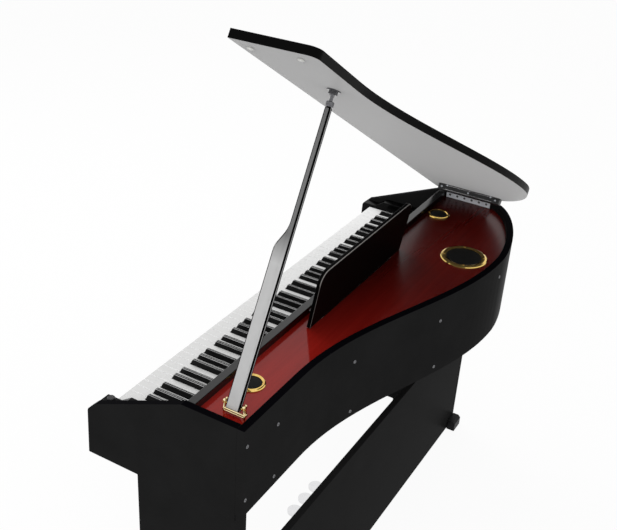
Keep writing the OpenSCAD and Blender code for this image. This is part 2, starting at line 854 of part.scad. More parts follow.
module black_key(w) {
    x = black_x(w);
    foot_z = -white_h + 2;
    color("#111113") {
        intersection() {
            along_x(x - black_w, x + black_w) polygon([
                [black_front, foot_z], [white_len - 1, foot_z], [white_len - 1, black_h],
                [black_front + black_bevel + 1, black_h], [black_front + black_bevel - 0.6, black_h - 1],
                [black_front + 1, 0], [black_front, -1]]);
            translate([x, white_len + 1, 0]) rotate([90, 0, 0]) linear_extrude(white_len) polygon([
                [-black_w / 2, foot_z], [black_w / 2, foot_z], [black_w / 2, 0],
                [black_w / 2 - black_taper, black_h - 1], [black_w / 2 - black_taper - 1, black_h],
                [-black_w / 2 + black_taper + 1, black_h], [-black_w / 2 + black_taper, black_h - 1],
                [-black_w / 2, 0]]);
        }
        key_lever(x);
    }
}

// All natural keys, or all sharps, of one name
module naturals(name) {
    place() for (w = [0 : white_count - 1]) if (letter(w) == name) white_key(w);
}

module sharps(name) {
    place() for (w = [0 : white_count - 2]) if (letter(w) == name) black_key(w);
}

module keys_c() { naturals(0); }
module keys_c_sharp() { sharps(0); }
module keys_d() { naturals(1); }
module keys_d_sharp() { sharps(1); }
module keys_e() { naturals(2); }
module keys_f() { naturals(3); }
module keys_f_sharp() { sharps(3); }
module keys_g() { naturals(4); }
module keys_g_sharp() { sharps(4); }
module keys_a() { naturals(5); }
module keys_a_sharp() { sharps(5); }
module keys_b() { naturals(6); }

key_drop_z = -white_h - key_dip - felt_gap;

// Edges between B and C, where a bearing of the key shaft has room
bearing_xs = concat(
    [bearing_t / 2],
    [for (w = [0 : white_count - 2]) if (letter(w) == 6) (w + 1) * white_pitch],
    [key_len - bearing_t / 2]);

module key_frame() {
    color("#3a3a3d") place() difference() {
        union() {
            along_x(0, key_len) polygon([
                [frame_front, tray_z], [frame_back, tray_z], [frame_back, tray_z + frame_t],
                [frame_front + frame_wall, tray_z + frame_t], [frame_front + frame_wall, key_drop_z],
                [frame_front, key_drop_z]]);
            for (x = bearing_xs)
                translate([x - bearing_t / 2, key_pivot_y - 14, tray_z + frame_t - 1])
                    cube([bearing_t, 28, key_pivot_z + 8 - tray_z - frame_t + 1]);
        }
        rod_x(-1, key_len + 1, key_pivot_y, key_pivot_z, key_shaft_d / 2);
    }
}

module key_shaft() {
    color("#9a9b9d") place() rod_x(0, key_len, key_pivot_y, key_pivot_z, key_shaft_d / 2);
}

// Controls

module push_button(x) {
    color("#2a2a2d") place() {
        translate([x - button_w / 2, button_y - button_d / 2, shelf_top - shelf_t - button_lip])
            cube([button_w, button_d, shelf_t + button_lip + button_rise]);
        translate([x - button_w / 2 - button_lip, button_y - button_d / 2 - button_lip,
            shelf_top - shelf_t - button_lip - seat_gap])
            cube([button_w + button_lip * 2, button_d + button_lip * 2, button_lip]);
    }
}

module power_button() { push_button(button_xs[0]); }
module voice_button() { push_button(button_xs[1]); }
module rhythm_button() { push_button(button_xs[2]); }

module volume_knob() {
    color("#1b1b1d") place() translate([knob_x, knob_y, cheek_low_h + seat_gap])
        rotate_extrude($fn = 64) polygon([
            [0, -16], [knob_shaft_r, -16], [knob_shaft_r, 0], [knob_r, 0], [knob_r, knob_h - 2],
            [knob_r - 1.5, knob_h], [0, knob_h]]);
}

// Speakers

module speaker_ring(at, r) {
    hole = r * ring_open;
    translate([at[0], at[1], board_z]) rotate_extrude($fn = 96) polygon([
        [hole - ring_lip, 0], [r, 0], [r, 1.5], [r - 2, 3.2], [(r + hole) / 2 + 1, ring_h],
        [(r + hole) / 2 - 2, ring_h], [hole, 3.4], [hole, grille_t], [hole - ring_lip, grille_t]]);
}

module speaker_grille(at, r) {
    hole = r * ring_open;
    translate([at[0], at[1], board_z]) rotate_extrude($fn = 96) polygon([
        [0, grille_t], [hole - 0.1, grille_t], [hole - 0.1, grille_t + 0.8],
        [hole * 0.6, grille_t + 1.8], [0, grille_t + 2.4]]);
}

module speaker_driver(at, r, depth) {
    hole = r * ring_open;
    translate([at[0], at[1], board_low_z]) rotate_extrude($fn = 72) polygon([
        [0, -6], [hole * 0.3, -depth * 0.45], [hole * 0.9, -4], [hole, 0], [r * 0.95, 0],
        [r * 0.95, -driver_flange_t], [hole, -driver_flange_t - 2], [hole * 0.55, -depth * 0.6],
        [hole * 0.72, -depth * 0.6], [hole * 0.72, -depth], [0, -depth]]);
}

module woofer_ring() {
    color("#c9a545") place() speaker_ring(woofer_at, woofer_r);
}

module tweeter_rings() {
    color("#c9a545") place() for (at = tweeter_ats) speaker_ring(at, tweeter_r);
}

module woofer_grille() {
    color("#1c1c1e") place() speaker_grille(woofer_at, woofer_r);
}

module tweeter_grilles() {
    color("#1c1c1e") place() for (at = tweeter_ats) speaker_grille(at, tweeter_r);
}

module woofer_driver() {
    color("#2c2c2f") place() speaker_driver(woofer_at, woofer_r, 62);
}

module tweeter_drivers() {
    color("#2c2c2f") place() for (at = tweeter_ats) speaker_driver(at, tweeter_r, 34);
}

// Inside and fastenings

module main_board() {
    color("#1f5a34") place() translate([pcb_x, pcb_y, tray_z]) {
        translate([0, 0, pcb_stand]) cube([pcb_w, pcb_d, pcb_t]);
        for (x = [post_inset, pcb_w - post_inset], y = [post_inset, pcb_d - post_inset])
            translate([x, y, 0]) cylinder(r = post_inset / 2, h = pcb_stand, $fn = 32);
        for (i = [0 : 3])
            translate([post_inset * 3 + i * chip_step, post_inset + 22, pcb_stand + pcb_t])
                cube([chip_w, chip_w, chip_h - 4]);
        for (i = [0 : 2])
            translate([post_inset * 3 + 26 + i * coil_step, pcb_d - post_inset * 3, pcb_stand + pcb_t])
                cylinder(r = post_inset, h = chip_h * 2, $fn = 32);
    }
}

inlet_x = tail_x - 180;
inlet_y = 400;

// Socket plate under the case for the plug of the mains adapter
module power_inlet() {
    color("#222225") place() difference() {
        union() {
            translate([inlet_x - 22, inlet_y - 16, rim_low - 3]) cube([44, 32, 3]);
            translate([inlet_x, inlet_y, rim_low - 8]) cylinder(r = inlet_r + 3, h = 6, $fn = 48);
        }
        translate([inlet_x, inlet_y, rim_low - 9]) cylinder(r = inlet_r, h = 8, $fn = 48);
    }
}

// Segment of the bent side's outline above a place along X
function rim_segment(x) = [
    for (i = [0 : len(rim_curve) - 2])
        if (rim_curve[i][0] >= x && rim_curve[i + 1][0] < x) i][0];

module rim_screw(x, z) {
    a = rim_curve[rim_segment(x)];
    b = rim_curve[rim_segment(x) + 1];
    d = unit(b - a);
    translate([x, a[1] + (b[1] - a[1]) * (x - a[0]) / (b[0] - a[0]), z])
        rotate([0, 0, atan2(d[1], d[0])]) rotate([90, 0, 0])
        difference() {
            cylinder(r1 = rim_screw_r, r2 = rim_screw_r - 0.8, h = rim_screw_h, $fn = 32);
            translate([0, 0, rim_screw_h - 0.6]) cylinder(r = 1.6, h = 1, $fn = 6);
        }
}

module panel_screws() {
    color("#8d8e90") place() {
        for (at = rim_screws) rim_screw(at[0], at[1]);
    }
}

treble_side();
bass_side();
treble_leg();
bass_leg();
bentside();
bottom_board();
soundboard();
key_rail();
control_shelf();
key_slip();
treble_cheek();
bass_cheek();
cross_panel();
pedal_box();
rear_feet();
front_glides();
lid();
lid_bumpers();
hinge_lower_leaf();
hinge_upper_leaf();
hinge_pin();
hinge_screws();
prop_cup();
prop_bracket();
prop_pin();
prop_stick();
prop_tip();
music_desk();
desk_pins();
keys_c();
keys_c_sharp();
keys_d();
keys_d_sharp();
keys_e();
keys_f();
keys_f_sharp();
keys_g();
keys_g_sharp();
keys_a();
keys_a_sharp();
keys_b();
key_frame();
key_shaft();
woofer_ring();
tweeter_rings();
woofer_grille();
tweeter_grilles();
woofer_driver();
tweeter_drivers();
main_board();
power_inlet();
panel_screws();
left_pedal();
middle_pedal();
right_pedal();
pedal_shaft();
volume_knob();
power_button();
voice_button();
rhythm_button();
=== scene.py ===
import json
import math

import bmesh
import bpy
from mathutils import Matrix, Vector


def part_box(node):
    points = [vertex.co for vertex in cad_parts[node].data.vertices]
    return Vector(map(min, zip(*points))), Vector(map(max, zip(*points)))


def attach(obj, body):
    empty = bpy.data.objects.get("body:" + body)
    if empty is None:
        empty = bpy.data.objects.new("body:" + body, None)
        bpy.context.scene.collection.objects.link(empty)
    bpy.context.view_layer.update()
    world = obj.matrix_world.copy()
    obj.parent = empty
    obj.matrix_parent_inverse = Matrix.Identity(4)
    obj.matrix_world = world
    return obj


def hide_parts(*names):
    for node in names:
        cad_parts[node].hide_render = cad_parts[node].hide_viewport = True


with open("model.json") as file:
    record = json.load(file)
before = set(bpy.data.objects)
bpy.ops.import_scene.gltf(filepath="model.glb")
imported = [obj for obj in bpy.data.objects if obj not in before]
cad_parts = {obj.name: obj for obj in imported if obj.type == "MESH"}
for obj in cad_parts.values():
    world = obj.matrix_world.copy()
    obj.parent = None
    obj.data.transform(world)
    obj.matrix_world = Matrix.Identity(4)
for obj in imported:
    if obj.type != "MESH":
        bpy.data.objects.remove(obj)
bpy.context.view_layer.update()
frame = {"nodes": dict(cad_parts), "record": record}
nodes = frame["nodes"]
print("frame loaded")

scene = bpy.context.scene
scene.view_settings.view_transform = "Standard"

# Places are given from the front corner of the lowest key's top
keyZero = Vector((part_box("key_shaft")[0][0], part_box("keys_c")[0][1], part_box("keys_c")[1][2]))


def atKeys(x, y, z):
    # a place in millimetres from that corner
    return keyZero + Vector((x, y, z)) / 1000


# Materials

def newMaterial(name):
    material = bpy.data.materials.new(name)
    material.use_nodes = True
    tree = material.node_tree
    return material, tree, tree.nodes["Principled BSDF"]


def addNode(tree, kind, **inputs):
    node = tree.nodes.new(kind)
    for key, value in inputs.items():
        node.inputs[key].default_value = value
    return node


def objectCoords(tree, scale=(1, 1, 1)):
    coords = addNode(tree, "ShaderNodeTexCoord")
    mapping = addNode(tree, "ShaderNodeMapping", Scale=scale)
    tree.links.new(coords.outputs["Object"], mapping.inputs["Vector"])
    return mapping.outputs["Vector"]


def placeAlong(tree, axis):
    # where a point lies along one axis of the frame, in metres
    coords = addNode(tree, "ShaderNodeTexCoord")
    parts = addNode(tree, "ShaderNodeSeparateXYZ")
    tree.links.new(coords.outputs["Object"], parts.inputs["Vector"])
    return parts.outputs[axis]


def noiseOut(tree, vector, scale, detail=3.0, roughness=0.5):
    noise = addNode(tree, "ShaderNodeTexNoise", Scale=scale, Detail=detail, Roughness=roughness)
    tree.links.new(vector, noise.inputs["Vector"])
    return noise.outputs["Fac"]


def ramp(tree, factor, stops):
    node = addNode(tree, "ShaderNodeValToRGB")
    elements = node.color_ramp.elements
    while len(elements) < len(stops):
        elements.new(0.5)
    for element, (place, color) in zip(elements, stops):
        element.position = place
        element.color = (*color, 1)
    tree.links.new(factor, node.inputs["Fac"])
    return node.outputs["Color"]


def mottle(tree, factor, low, high):
    # two tones, mixed by a noise
    return ramp(tree, factor, [(0.3, low), (0.7, high)])


def dimmed(color, share):
    return tuple(c * share for c in color)


def spread(tree, factor, low, high):
    # turns a factor of 0 to 1 into a number between two values
    node = addNode(tree, "ShaderNodeMapRange")
    node.inputs["To Min"].default_value = low
    node.inputs["To Max"].default_value = high
    tree.links.new(factor, node.inputs["Value"])
    return node.outputs["Result"]


def between(tree, value, low, high, smooth=False):
    # 0 to 1 as a value goes from low to high
    node = addNode(tree, "ShaderNodeMapRange")
    if smooth:
        node.interpolation_type = "SMOOTHSTEP"
    node.inputs["From Min"].default_value = low
    node.inputs["From Max"].default_value = high
    tree.links.new(value, node.inputs["Value"])
    return node.outputs["Result"]


def addBump(tree, shader, height, strength, distance):
    bump = addNode(tree, "ShaderNodeBump", Strength=strength, Distance=distance)
    tree.links.new(height, bump.inputs["Height"])
    tree.links.new(bump.outputs["Normal"], shader.inputs["Normal"])


def facing(tree, direction, low, high):
    # 0 to 1 as the surface turns to face a direction that moves with its piece
    geometry = addNode(tree, "ShaderNodeNewGeometry")
    toPiece = addNode(tree, "ShaderNodeVectorTransform")
    toPiece.vector_type = "NORMAL"
    toPiece.convert_from = "WORLD"
    toPiece.convert_to = "OBJECT"
    tree.links.new(geometry.outputs["True Normal"], toPiece.inputs["Vector"])
    dot = addNode(tree, "ShaderNodeVectorMath")
    dot.operation = "DOT_PRODUCT"
    dot.inputs[1].default_value = direction
    tree.links.new(toPiece.outputs["Vector"], dot.inputs[0])
    return between(tree, dot.outputs["Value"], low, high)


def alongKeys(tree, low, high):
    # 0 to 1 from the bass towards the treble, between two places in metres
    return between(tree, placeAlong(tree, "X"), keyZero.x + low, keyZero.x + high, smooth=True)


def blendColors(tree, factor, away, toward):
    # each colour is a socket or three numbers
    mix = addNode(tree, "ShaderNodeMix")
    mix.data_type = "RGBA"
    tree.links.new(factor, mix.inputs["Factor"])
    for socket, color in ((mix.inputs[6], away), (mix.inputs[7], toward)):
        if isinstance(color, tuple):
            socket.default_value = (*color, 1)
        else:
            tree.links.new(color, socket)
    return mix.outputs[2]


def multiplyColors(tree, first, second):
    mix = addNode(tree, "ShaderNodeMix")
    mix.data_type = "RGBA"
    mix.blend_type = "MULTIPLY"
    mix.inputs["Factor"].default_value = 1
    tree.links.new(first, mix.inputs[6])
    tree.links.new(second, mix.inputs[7])
    return mix.outputs[2]


lacquerLook = {
    "panelColor": (0.0145, 0.0145, 0.0146),
    # painted shade on faces of the case that look up
    "paintedTopShade": (0.0016, 0.0015, 0.0022),
    "panelSpecular": 0.0015,
    "panelRoughness": (0.28, 0.36),
    "innerColor": (0.0012, 0.0012, 0.0012),
    "innerSpecular": 0.08,
    "innerRoughness": (0.2, 0.3),
    "railSpecular": 0.5,
    "railRoughness": (0.16, 0.24),
    "hazeScale": 9.0,
    "hazeShade": 0.82,
    "peelScale": 260.0,
    "peelStrength": 0.02,
    "peelDepth": 0.0004,
}


def lacquerHaze(tree):
    # cloudy patches where the polish is duller
    return noiseOut(tree, objectCoords(tree), lacquerLook["hazeScale"], 4.0, 0.6)


def orangePeel(tree, shader):
    # the fine ripple of sprayed lacquer
    ripple = noiseOut(tree, objectCoords(tree), lacquerLook["peelScale"], 2.0)
    addBump(tree, shader, ripple, lacquerLook["peelStrength"], lacquerLook["peelDepth"])


def lacquer(name, color, specular, roughness, paintedTopShade=None):
    # black polyester lacquer; faces that look up get a darker tone, a painted shade
    material, tree, shader = newMaterial(name)
    haze = lacquerHaze(tree)
    tree.links.new(spread(tree, haze, *roughness), shader.inputs["Roughness"])
    tone = mottle(tree, haze, dimmed(color, lacquerLook["hazeShade"]), color)
    # painted shade: faces that look up are darker
    if paintedTopShade:
        tone = blendColors(tree, facing(tree, (0, 0, 1), 0.7, 0.9), tone, paintedTopShade)
    tree.links.new(tone, shader.inputs["Base Color"])
    shader.inputs["Specular IOR Level"].default_value = specular
    orangePeel(tree, shader)
    return material


redLook = {
    "deep": (0.070, 0.0028, 0.0018),
    "light": (0.105, 0.0050, 0.0030),
    # the paler treble tones are painted light
    "trebleDeep": (0.20, 0.0070, 0.0045),
    "trebleLight": (0.27, 0.0120, 0.0080),
    "fade": (0.45, 1.10),
    # painted shade at the bass end, towards the keys
    "shade": 0.45,
    "shadeFrom": (0.25, 0.39),
    "grainScale": (1.2, 26, 26),
    "grainStops": (0.25, 0.8),
    "trebleRoughness": 0.05,
    "bassRoughness": 0.27,
    "specular": 0.21,
    "bumpScale": 180.0,
    "bumpStrength": 0.015,
}


def redGrain(tree, factor, deep, light):
    low, high = redLook["grainStops"]
    return ramp(tree, factor, [(low, redLook[deep]), (high, redLook[light])])


def redLacquer():
    # mahogany red under clear gloss, with a fine grain along the keys, and painted light and shade
    # that make it paler at the treble end and darker at the bass end
    material, tree, shader = newMaterial("redLacquer")
    grain = noiseOut(tree, objectCoords(tree, redLook["grainScale"]), 3.2, 6.0, 0.62)
    along = alongKeys(tree, *redLook["fade"])
    # painted light and shade: the red is paler towards the treble end, darker towards the bass end
    stainAndPaintedLight = blendColors(tree, along, redGrain(tree, grain, "deep", "light"),
                        redGrain(tree, grain, "trebleDeep", "trebleLight"))
    # painted shade: at the bass end the red darkens towards the keys, for the shadow of the music desk
    # and the lid
    low, high = redLook["shadeFrom"]
    away = between(tree, placeAlong(tree, "Y"), keyZero.y + low, keyZero.y + high, smooth=True)
    nearKeys = blendColors(tree, along, (redLook["shade"],) * 3, (1, 1, 1))
    tone = multiplyColors(tree, stainAndPaintedLight, blendColors(tree, away, nearKeys, (1, 1, 1)))
    tree.links.new(tone, shader.inputs["Base Color"])
    tree.links.new(spread(tree, along, redLook["bassRoughness"], redLook["trebleRoughness"]),
                   shader.inputs["Roughness"])
    shader.inputs["Specular IOR Level"].default_value = redLook["specular"]
    ripple = noiseOut(tree, objectCoords(tree), redLook["bumpScale"])
    addBump(tree, shader, ripple, redLook["bumpStrength"], 0.0003)
    return material


def metal(name, low, high, roughness, scratch=(40, 40, 40), bump=0.03):
    # plated metal, its tone and polish varied by fine scratches
    material, tree, shader = newMaterial(name)
    marks = noiseOut(tree, objectCoords(tree, scratch), 6.0, 5.0, 0.65)
    tree.links.new(mottle(tree, marks, low, high), shader.inputs["Base Color"])
    tree.links.new(spread(tree, marks, *roughness), shader.inputs["Roughness"])
    shader.inputs["Metallic"].default_value = 1.0
    addBump(tree, shader, marks, bump, 0.0002)
    return material


def plastic(name, low, high, roughness, scale=30.0, bump=0.08, specular=0.5):
    # moulded plastic with a faint grain
    material, tree, shader = newMaterial(name)
    vector = objectCoords(tree)
    speckle = noiseOut(tree, vector, scale, 4.0, 0.6)
    tree.links.new(mottle(tree, speckle, low, high), shader.inputs["Base Color"])
    tree.links.new(spread(tree, speckle, *roughness), shader.inputs["Roughness"])
    shader.inputs["Specular IOR Level"].default_value = specular
    addBump(tree, shader, noiseOut(tree, vector, scale * 20), bump, 0.0002)
    return material


grilleLook = {
    "pitch": 420.0,
    "metal": (0.012, 0.012, 0.012),
    "hole": (0.001, 0.001, 0.001),
    "holeEdge": (0.30, 0.36),
    "roughness": 0.45,
    "specular": 0.05,
}


def perforated():
    # black sheet with rows of small round holes
    look = grilleLook
    material, tree, shader = newMaterial("perforatedSheet")
    vector = objectCoords(tree, (look["pitch"], look["pitch"], 0.001))
    dots = addNode(tree, "ShaderNodeTexVoronoi", Scale=1.0, Randomness=0.0)
    tree.links.new(vector, dots.inputs["Vector"])
    inside, outside = look["holeEdge"]
    tone = ramp(tree, dots.outputs["Distance"], [(inside, look["hole"]), (outside, look["metal"])])
    tree.links.new(tone, shader.inputs["Base Color"])
    shader.inputs["Roughness"].default_value = look["roughness"]
    shader.inputs["Specular IOR Level"].default_value = look["specular"]
    addBump(tree, shader, dots.outputs["Distance"], 0.6, 0.0006)
    return material


chipLook = {
    "scale": 240.0,
    "dark": (0.035, 0.027, 0.02),
    "pale": (0.09, 0.07, 0.052),
    "roughness": 0.75,
}


def chipBoard():
    # pressed wood chips with a dark stain
    material, tree, shader = newMaterial("chipBoard")
    chips = addNode(tree, "ShaderNodeTexVoronoi", Scale=chipLook["scale"])
    tree.links.new(objectCoords(tree, (1, 0.6, 1)), chips.inputs["Vector"])
    tone = ramp(tree, chips.outputs["Distance"], [(0.1, chipLook["dark"]), (0.8, chipLook["pale"])])
    tree.links.new(tone, shader.inputs["Base Color"])
    shader.inputs["Roughness"].default_value = chipLook["roughness"]
    addBump(tree, shader, chips.outputs["Distance"], 0.25, 0.0004)
    return material


circuitLook = {
    "scale": 60.0,
    "resist": (0.012, 0.09, 0.035),
    "paleResist": (0.015, 0.11, 0.04),
    "track": (0.03, 0.19, 0.08),
    "roughness": 0.35,
}


def circuitBoard():
    # green resist over a grid of tracks
    material, tree, shader = newMaterial("circuitBoard")
    tracks = addNode(tree, "ShaderNodeTexBrick", Scale=circuitLook["scale"])
    for socket, green in (("Color1", "resist"), ("Color2", "paleResist"), ("Mortar", "track")):
        tracks.inputs[socket].default_value = (*circuitLook[green], 1)
    tree.links.new(objectCoords(tree), tracks.inputs["Vector"])
    tree.links.new(tracks.outputs["Color"], shader.inputs["Base Color"])
    shader.inputs["Roughness"].default_value = circuitLook["roughness"]
    addBump(tree, shader, tracks.outputs["Fac"], 0.2, 0.0002)
    return material


propLook = {
    "turn": 118.5,
    "pivot": (1213, 0, 110),
    # painted reflection on the broad faces
    "face": (0.50, 0.50, 0.50),
    "faceShade": 0.95,
    "faceRoughness": 0.34,
    "facing": (0.94, 0.97),
    "edge": (0.0012, 0.0012, 0.0012),
    "bar": (0.17, 0.17, 0.17),
    "barFrom": (0.375, 0.43),
    # painted highlight down each narrow edge
    "line": (0.40, 0.40, 0.40),
    "lineDepth": (-0.0004, 0.0020),
    "specular": 0.01,
}


def propFinish():
    # black lacquer on the edges; the pale grey on the two broad faces is a painted reflection of white
    # light
    look = propLook
    material, tree, shader = newMaterial("propFinish")
    turn = math.radians(look["turn"])
    faceNormal = Vector((-math.sin(turn), 0, math.cos(turn)))
    haze = noiseOut(tree, objectCoords(tree, (3, 3, 3)), 20.0)
    paintedReflection = mottle(tree, haze, dimmed(look["face"], look["faceShade"]), look["face"])
    # the painted reflection is darker on the narrow bar than on the blade
    low, high = look["barFrom"]
    height = between(tree, placeAlong(tree, "Z"), keyZero.z + low, keyZero.z + high)
    paintedReflection = blendColors(tree, height, paintedReflection, look["bar"])
    # a painted highlight runs down each narrow edge
    coords = addNode(tree, "ShaderNodeTexCoord")
    depth = addNode(tree, "ShaderNodeVectorMath")
    depth.operation = "DOT_PRODUCT"
    depth.inputs[1].default_value = -faceNormal
    tree.links.new(coords.outputs["Object"], depth.inputs[0])
    middle = -faceNormal.dot(atKeys(*look["pivot"]))
    low, high = look["lineDepth"]
    inLine = addNode(tree, "ShaderNodeMath")
    inLine.operation = "COMPARE"
    inLine.inputs[1].default_value = middle + (low + high) / 2
    inLine.inputs[2].default_value = (high - low) / 2
    tree.links.new(depth.outputs["Value"], inLine.inputs[0])
    tone = blendColors(tree, inLine.outputs["Value"], look["edge"], look["line"])
    for direction in (faceNormal, -faceNormal):
        tone = blendColors(tree, facing(tree, direction, *look["facing"]), tone, paintedReflection)
    tree.links.new(tone, shader.inputs["Base Color"])
    shader.inputs["Roughness"].default_value = look["faceRoughness"]
    shader.inputs["Specular IOR Level"].default_value = look["specular"]
    addBump(tree, shader, haze, 0.02, 0.0002)
    return material


lidLook = {
    "angle": 31.4,
    "facing": (0.96, 0.985),
    "black": (0.0015, 0.0015, 0.0015),
    "under": (0.18, 0.18, 0.18),
    "underShade": 0.97,
    "topRoughness": 0.06,
    "edgeRoughness": 0.4,
    "specular": 0.03,
    "coatRoughness": 0.04,
    "sheen": 1.0,
    "sheenRoughness": 0.35,
}


def lidFinish():
    # black gloss above, a satin black edge, and a pale laminate with a soft sheen below
    look = lidLook
    material, tree, shader = newMaterial("lidLacquer")
    angle = math.radians(look["angle"])
    above = facing(tree, (-math.sin(angle), 0, math.cos(angle)), *look["facing"])
    below = facing(tree, (math.sin(angle), 0, -math.cos(angle)), *look["facing"])
    grey = mottle(tree, lacquerHaze(tree), dimmed(look["under"], look["underShade"]), look["under"])
    tree.links.new(blendColors(tree, below, look["black"], grey), shader.inputs["Base Color"])
    tree.links.new(spread(tree, above, look["edgeRoughness"], look["topRoughness"]),
                   shader.inputs["Roughness"])
    shader.inputs["Specular IOR Level"].default_value = look["specular"]
    tree.links.new(above, shader.inputs["Coat Weight"])
    shader.inputs["Coat Roughness"].default_value = look["coatRoughness"]
    tree.links.new(spread(tree, below, 0.0, look["sheen"]), shader.inputs["Sheen Weight"])
    shader.inputs["Sheen Roughness"].default_value = look["sheenRoughness"]
    shader.inputs["Sheen Tint"].default_value = (1, 1, 1, 1)
    orangePeel(tree, shader)
    return material


deskLook = {
    "lean": 9,
    "face": (0.0012, 0.0012, 0.0012),
    # painted highlight on the chamfer
    "line": (0.22, 0.21, 0.2),
    "lineStops": (0.3, 0.36, 0.92, 0.97),
    "roughness": (0.3, 0.4),
    "specular": 0.02,
}


def deskFinish():
    # satin black, with a painted highlight on the chamfer round the back face
    look = deskLook
    material, tree, shader = newMaterial("deskLacquer")
    lean = math.radians(look["lean"])
    turned = facing(tree, (0, math.cos(lean), -math.sin(lean)), 0.0, 1.0)
    colors = (look["face"], look["line"], look["line"], look["face"])
    tone = ramp(tree, turned, list(zip(look["lineStops"], colors)))
    tree.links.new(tone, shader.inputs["Base Color"])
    tree.links.new(spread(tree, lacquerHaze(tree), *look["roughness"]), shader.inputs["Roughness"])
    shader.inputs["Specular IOR Level"].default_value = look["specular"]
    orangePeel(tree, shader)
    return material


keyLook = {
    # painted light and shade along the white keys' tops
    "trebleTop": (0.66, 0.66, 0.655),
    "bassTop": (0.84, 0.84, 0.835),
    "span": (0.0, 1.222),
    # painted highlight down the rounded sides
    "side": (0.98, 0.98, 0.98),
    "whiteRoughness": (0.24, 0.32),
    "whiteSpecular": 0.4,
    "black": (0.0035, 0.0035, 0.0035),
    # painted highlight lines on the black keys' tops
    "line": (0.70, 0.70, 0.70),
    "linePitch": 0.0042,
    "blackRoughness": (0.3, 0.42),
    "blackSpecular": 0.12,
}


def whiteKeyFinish():
    # moulded white plastic; its rounded sides are paler, a painted highlight, and its top is painted
    # paler at the bass end and darker at the treble end, as light and shade
    look = keyLook
    material, tree, shader = newMaterial("whiteKeyTop")
    vector = objectCoords(tree)
    speckle = noiseOut(tree, vector, 12.0, 4.0, 0.6)
    # painted light and shade along the keys, and a painted highlight on the sides
    base = blendColors(tree, alongKeys(tree, *look["span"]), look["bassTop"], look["trebleTop"])
    pale = mottle(tree, speckle, (0.98, 0.98, 0.98), (1, 1, 1))
    upward = facing(tree, (0, 0, 1), 0.9, 0.985)
    tone = blendColors(tree, upward, look["side"], multiplyColors(tree, base, pale))
    tree.links.new(tone, shader.inputs["Base Color"])
    tree.links.new(spread(tree, speckle, *look["whiteRoughness"]), shader.inputs["Roughness"])
    shader.inputs["Specular IOR Level"].default_value = look["whiteSpecular"]
    addBump(tree, shader, noiseOut(tree, vector, 240.0), 0.01, 0.0002)
    return material


def blackKeyFinish():
    # black plastic, with painted highlights as fine lines along each key
    look = keyLook
    material, tree, shader = newMaterial("blackKeyTop")
    coords = addNode(tree, "ShaderNodeTexCoord")
    bandScale = math.pi / (10 * look["linePitch"])
    bands = addNode(tree, "ShaderNodeTexWave", Scale=bandScale, Distortion=0.0)
    bands.wave_type = "BANDS"
    bands.bands_direction = "X"
    tree.links.new(coords.outputs["Object"], bands.inputs["Vector"])
    # painted highlights: thin pale lines on the tops
    lines = ramp(tree, bands.outputs["Fac"], [(0.88, look["black"]), (0.96, look["line"])])
    wear = noiseOut(tree, objectCoords(tree, (1, 0.2, 1)), 60.0, 4.0, 0.6)
    tone = blendColors(tree, facing(tree, (0, 0, 1), 0.5, 0.7), look["black"], lines)
    tree.links.new(tone, shader.inputs["Base Color"])
    tree.links.new(spread(tree, wear, *look["blackRoughness"]), shader.inputs["Roughness"])
    shader.inputs["Specular IOR Level"].default_value = look["blackSpecular"]
    addBump(tree, shader, bands.outputs["Fac"], 0.15, 0.0002)
    return material


caseBlack = lacquer("caseLacquer", lacquerLook["panelColor"], lacquerLook["panelSpecular"],
                    lacquerLook["panelRoughness"], lacquerLook["paintedTopShade"])
standBlack = lacquer("standLacquer", lacquerLook["panelColor"], lacquerLook["panelSpecular"],
                     lacquerLook["panelRoughness"])
innerBlack = lacquer("innerLacquer", lacquerLook["innerColor"], lacquerLook["innerSpecular"],
                     lacquerLook["innerRoughness"])
railBlack = lacquer("railLacquer", lacquerLook["innerColor"], lacquerLook["railSpecular"],
                    lacquerLook["railRoughness"])
steel = metal("platedSteel", (0.60, 0.63, 0.68), (0.78, 0.81, 0.86), (0.34, 0.46), (8, 60, 60))
# painted light: the lower hinge leaf's steel is given a pale matt tone
litLeafSteel = plastic("litLeafSteel", (0.80, 0.83, 0.88), (0.92, 0.94, 0.97), (0.3, 0.42), 40.0, 0.04)
# painted reflection: the upper hinge leaf's steel is darkened for the dark it faces
shadedLeafSteel = metal("shadedLeafMetal", (0.05, 0.05, 0.055), (0.10, 0.10, 0.11), (0.25, 0.4), (8, 60, 60))
screwSteel = metal("screwSteel", (0.10, 0.10, 0.105), (0.22, 0.22, 0.23), (0.35, 0.5))
brightBrass = metal("brightBrass", (0.93, 0.74, 0.36), (1.0, 0.88, 0.58), (0.08, 0.14), bump=0.01)
chrome = metal("chrome", (0.72, 0.72, 0.73), (0.82, 0.82, 0.83), (0.05, 0.11), bump=0.01)
darkChrome = metal("darkChrome", (0.07, 0.07, 0.075), (0.20, 0.20, 0.21), (0.10, 0.18), bump=0.01)
brass = metal("polishedBrass", (0.72, 0.46, 0.10), (0.90, 0.66, 0.24), (0.09, 0.17), bump=0.02)
moulding = plastic("blackMoulding", (0.012, 0.012, 0.0125), (0.02, 0.02, 0.021), (0.4, 0.55))
footBlack = plastic("footMoulding", (0.004, 0.004, 0.0045), (0.008, 0.008, 0.0085), (0.35, 0.5),
                    specular=0.1)
frameSteel = plastic("paintedSteel", (0.03, 0.03, 0.033), (0.05, 0.05, 0.054), (0.4, 0.55))
bumperWhite = plastic("bumperRubber", (0.6, 0.6, 0.58), (0.75, 0.75, 0.72), (0.35, 0.5))

